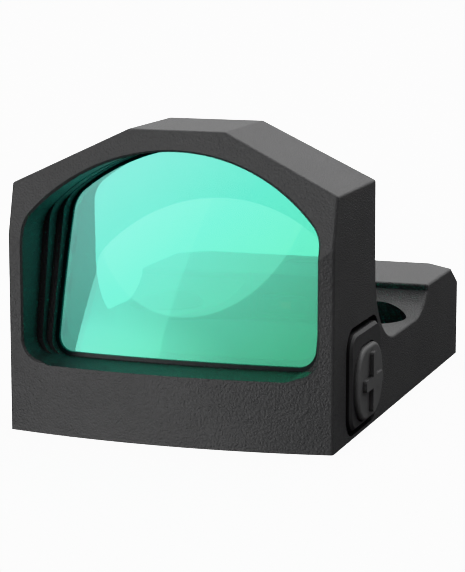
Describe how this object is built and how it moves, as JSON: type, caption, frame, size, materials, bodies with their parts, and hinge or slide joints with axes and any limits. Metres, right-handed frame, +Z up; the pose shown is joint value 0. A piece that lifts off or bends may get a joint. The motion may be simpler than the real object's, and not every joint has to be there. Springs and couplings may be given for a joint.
{
  "type": "red dot sight",
  "caption": "Compact open reflex red dot sight with a tilted coated lens, side brightness keys and sealed base plate.",
  "frame": {"origin": "middle of the underside of the bounding box, on the mounting plane", "axes": "+Z up, +Y from the lens window towards the rear deck, +X towards the plus key"},
  "size_m": [0.0258, 0.038, 0.0217],
  "materials": {
    "housing_black": "matte black anodised, fine blasted grain",
    "lens_coated": "polished, blue-green reflective coating",
    "lens_plain": "polished",
    "sealant": "satin black cured sealant",
    "window_clear": "polished, anti-reflection coated",
    "rubber_black": "matte moulded silicone rubber",
    "screw_black": "black oxide steel",
    "spring_steel": "bright spring steel",
    "nut_brass": "machined brass",
    "carrier_plastic": "black moulded plastic",
    "led": "clear red encapsulated chip",
    "oring": "black nitrile rubber",
    "switch_metal": "plated steel dome and case",
    "flex_film": "amber polyimide film",
    "board_green": "solder-masked glass epoxy",
    "chip_black": "moulded epoxy",
    "component_mix": "fired ceramic with tinned ends",
    "cell_can": "nickel-plated steel",
    "contact_gold": "gold-plated spring brass",
    "gasket_rubber": "die-cut rubber sheet",
    "plate_black": "black anodised sheet, satin"
  },
  "bodies": {
    "sight_body": {"housing_base": "housing_black", "housing_sill": "housing_black", "housing_deck": "housing_black", "housing_hood": "housing_black", "lens_front_element": "lens_coated", "lens_rear_element": "lens_plain", "lens_seal": "sealant", "emitter_window": "window_clear", "elevation_oring": "oring", "elevation_springs": "spring_steel", "windage_oring": "oring", "windage_spring": "spring_steel", "plus_pad": "rubber_black", "minus_pad": "rubber_black", "plus_switch": "switch_metal", "minus_switch": "switch_metal", "switch_flex": "flex_film", "circuit_board": "board_green", "microcontroller": "chip_black", "board_components": "component_mix", "board_screws": "screw_black", "battery": "cell_can", "negative_contact": "contact_gold", "positive_contact": "contact_gold", "base_gasket": "gasket_rubber", "base_plate": "plate_black", "cover_screws": "screw_black"},
    "elevation_adjuster": {"elevation_screw": "screw_black", "elevation_clip": "spring_steel"},
    "elevation_carriage": {"elevation_nut": "nut_brass"},
    "windage_adjuster": {"windage_screw": "screw_black", "windage_clip": "spring_steel"},
    "windage_carriage": {"windage_nut": "nut_brass"},
    "emitter_carriage": {"emitter_block": "carrier_plastic", "led_chip": "led"},
    "plus_button": {"plus_key": "rubber_black"},
    "minus_button": {"minus_key": "rubber_black"}
  },
  "joints": [
    {"name": "elevation_turn", "type": "hinge", "parent": "sight_body", "child": "elevation_adjuster", "pos_m": [0, 0.01557, 0.00745], "axis": [0, 0, 1], "range_deg": [-361, 361]},
    {"name": "elevation_travel", "type": "slide", "parent": "sight_body", "child": "elevation_carriage", "axis": [0, 0, 1], "range_m": [-0.00025, 0.00025], "deforming": ["elevation_springs"]},
    {"name": "windage_turn", "type": "hinge", "parent": "sight_body", "child": "windage_adjuster", "pos_m": [-0.01195, 0.01127, 0.00425], "axis": [-1, 0, 0], "range_deg": [-361, 361]},
    {"name": "windage_travel", "type": "slide", "parent": "sight_body", "child": "windage_carriage", "axis": [1, 0, 0], "range_m": [-0.00025, 0.00025]},
    {"name": "emitter_travel", "type": "slide", "parent": "elevation_carriage", "child": "emitter_carriage", "axis": [1, 0, 0], "range_m": [-0.00025, 0.00025], "deforming": ["windage_spring"]},
    {"name": "plus_press", "type": "slide", "parent": "sight_body", "child": "plus_button", "axis": [-1, 0, 0], "range_m": [0, 0.00033], "stiffness_N_per_m": 3000},
    {"name": "minus_press", "type": "slide", "parent": "sight_body", "child": "minus_button", "axis": [1, 0, 0], "range_m": [0, 0.00033], "stiffness_N_per_m": 3000}
  ],
  "couplings": [
    {"joint": "elevation_turn", "follows": "elevation_travel", "rad_per_m": -25133},
    {"joint": "windage_turn", "follows": "windage_travel", "rad_per_m": 25133},
    {"joint": "emitter_travel", "follows": "windage_travel", "ratio": 1}
  ]
}
